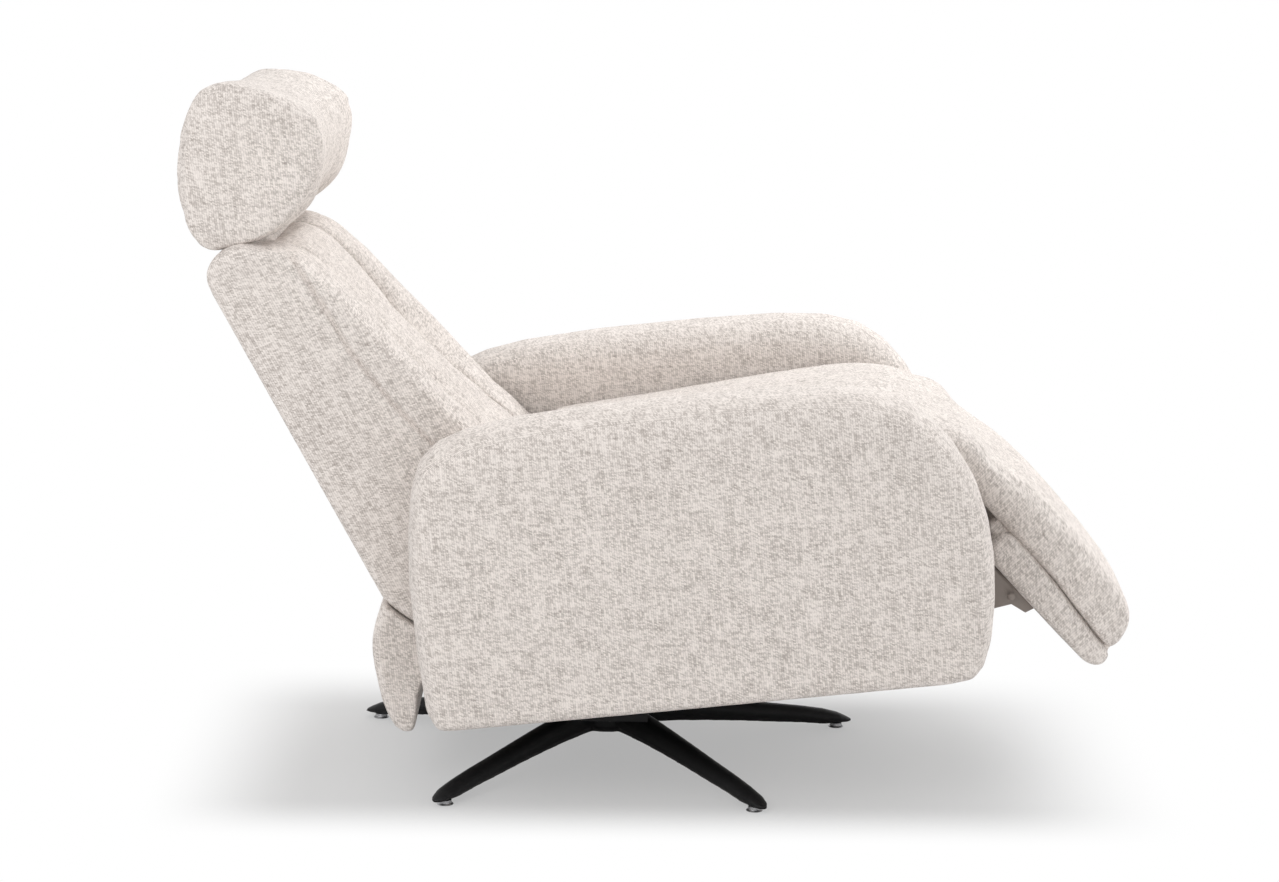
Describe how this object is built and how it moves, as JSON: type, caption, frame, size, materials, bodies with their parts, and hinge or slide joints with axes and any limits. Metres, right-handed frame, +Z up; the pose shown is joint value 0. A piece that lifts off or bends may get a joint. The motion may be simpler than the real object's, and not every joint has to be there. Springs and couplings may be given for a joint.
{
  "type": "star base swivel recliner",
  "caption": "Upholstered push-back recliner with a swivelling star base, tilting seat, linked fold-out footrest, reclining back and tilting headrest.",
  "frame": {"origin": "centre of the outline's bounding box on the floor, in the pictured pose", "axes": "+Z up; the chair faces -Y, so +Y runs from footrest to headrest; +X is the sitter's left"},
  "size_m": [0.776, 1.2694, 0.9373],
  "materials": {
    "fabric": "coarse slub weave in pale beige and grey",
    "lining": "dark non-woven lining cloth",
    "black_coat": "black powder coat, satin",
    "grey_steel": "warm grey coated steel, satin",
    "bright_steel": "bright plated steel",
    "nylon": "dark moulded nylon",
    "spring_steel": "bare spring wire"
  },
  "bodies": {
    "base": {"star_base": "black_coat", "glide_1": "bright_steel", "glide_2": "bright_steel", "glide_3": "bright_steel", "glide_4": "bright_steel", "glide_5": "bright_steel", "swivel_post": "grey_steel", "post_bolt": "black_coat", "thrust_washer": "nylon", "post_nut": "grey_steel"},
    "turntable": {"swivel_housing": "black_coat", "swivel_beam": "black_coat", "swivel_cheek_right": "black_coat", "swivel_cheek_left": "black_coat"},
    "seat_body": {"side_plate_right": "grey_steel", "tilt_pin_right": "bright_steel", "recline_pin_right": "bright_steel", "footrest_pin_right": "bright_steel", "side_plate_left": "grey_steel", "tilt_pin_left": "bright_steel", "recline_pin_left": "bright_steel", "footrest_pin_left": "bright_steel", "rear_cross_tube": "grey_steel", "front_cross_tube": "grey_steel", "front_spring_rail": "grey_steel", "rear_spring_rail": "grey_steel", "seat_spring_1": "spring_steel", "seat_spring_2": "spring_steel", "seat_spring_3": "spring_steel", "seat_spring_4": "spring_steel", "seat_deck": "lining", "seat_cushion": "fabric", "arm_right": "fabric", "arm_left": "fabric", "rear_apron": "fabric", "apron_rail": "grey_steel", "strut_clevis": "grey_steel"},
    "drive_links": {"drive_link_right": "grey_steel", "drive_link_left": "grey_steel"},
    "back": {"strut_lever": "grey_steel", "back_upright_right": "grey_steel", "headrest_arm_right": "grey_steel", "back_upright_left": "grey_steel", "headrest_arm_left": "grey_steel", "back_top_rail": "grey_steel", "back_low_rail": "grey_steel", "back_shell": "fabric", "back_centre_pad": "fabric", "back_bolster_right": "fabric", "back_bolster_left": "fabric"},
    "headrest": {"headrest_shaft": "grey_steel", "headrest_cushion": "fabric"},
    "footrest": {"footrest_pad": "fabric", "footrest_board": "fabric", "footrest_bracket_right": "grey_steel", "footrest_bracket_left": "grey_steel", "footrest_tube": "grey_steel"},
    "strut_cylinder": {"strut_cylinder": "black_coat"},
    "strut_rod": {"strut_rod": "bright_steel"}
  },
  "joints": [
    {"name": "swivel", "type": "hinge", "parent": "base", "child": "turntable", "pos_m": [0, 0.0678, 0.1], "axis": [0, 0, 1], "continuous": true},
    {"name": "tilt", "type": "hinge", "parent": "turntable", "child": "seat_body", "pos_m": [0, 0.0678, 0.15], "axis": [-1, 0, 0], "range_deg": [-5.5, 5.5]},
    {"name": "footrest", "type": "hinge", "parent": "seat_body", "child": "footrest", "pos_m": [0, -0.38187, 0.45116], "axis": [-1, 0, 0], "range_deg": [-37.4, 37.4]},
    {"name": "drive_link", "type": "hinge", "parent": "turntable", "child": "drive_links", "pos_m": [0, 0.08552, 0.31052], "axis": [-1, 0, 0], "range_deg": [-5.5, 5.5]},
    {"name": "recline", "type": "hinge", "parent": "seat_body", "child": "back", "pos_m": [0, 0.24433, 0.38203], "axis": [-1, 0, 0], "range_deg": [-19, 22]},
    {"name": "headrest", "type": "hinge", "parent": "back", "child": "headrest", "pos_m": [0, 0.57582, 0.78585], "axis": [-1, 0, 0], "range_deg": [-15, 25]},
    {"name": "strut_swing", "type": "hinge", "parent": "seat_body", "child": "strut_cylinder", "pos_m": [0, -0.18033, 0.29007], "axis": [-1, 0, 0], "range_deg": [-0.6, 0.6]},
    {"name": "strut_stroke", "type": "slide", "parent": "strut_cylinder", "child": "strut_rod", "axis": [0, 0.9991, -0.0424], "range_m": [-0.0416, 0.036]}
  ],
  "couplings": [
    {"joint": "footrest", "follows": "tilt", "ratio": 6.8},
    {"joint": "drive_link", "follows": "tilt", "ratio": 1},
    {"joint": "strut_swing", "follows": "recline", "ratio": -0.02},
    {"joint": "strut_stroke", "follows": "recline", "m_per_rad": -0.1073}
  ]
}
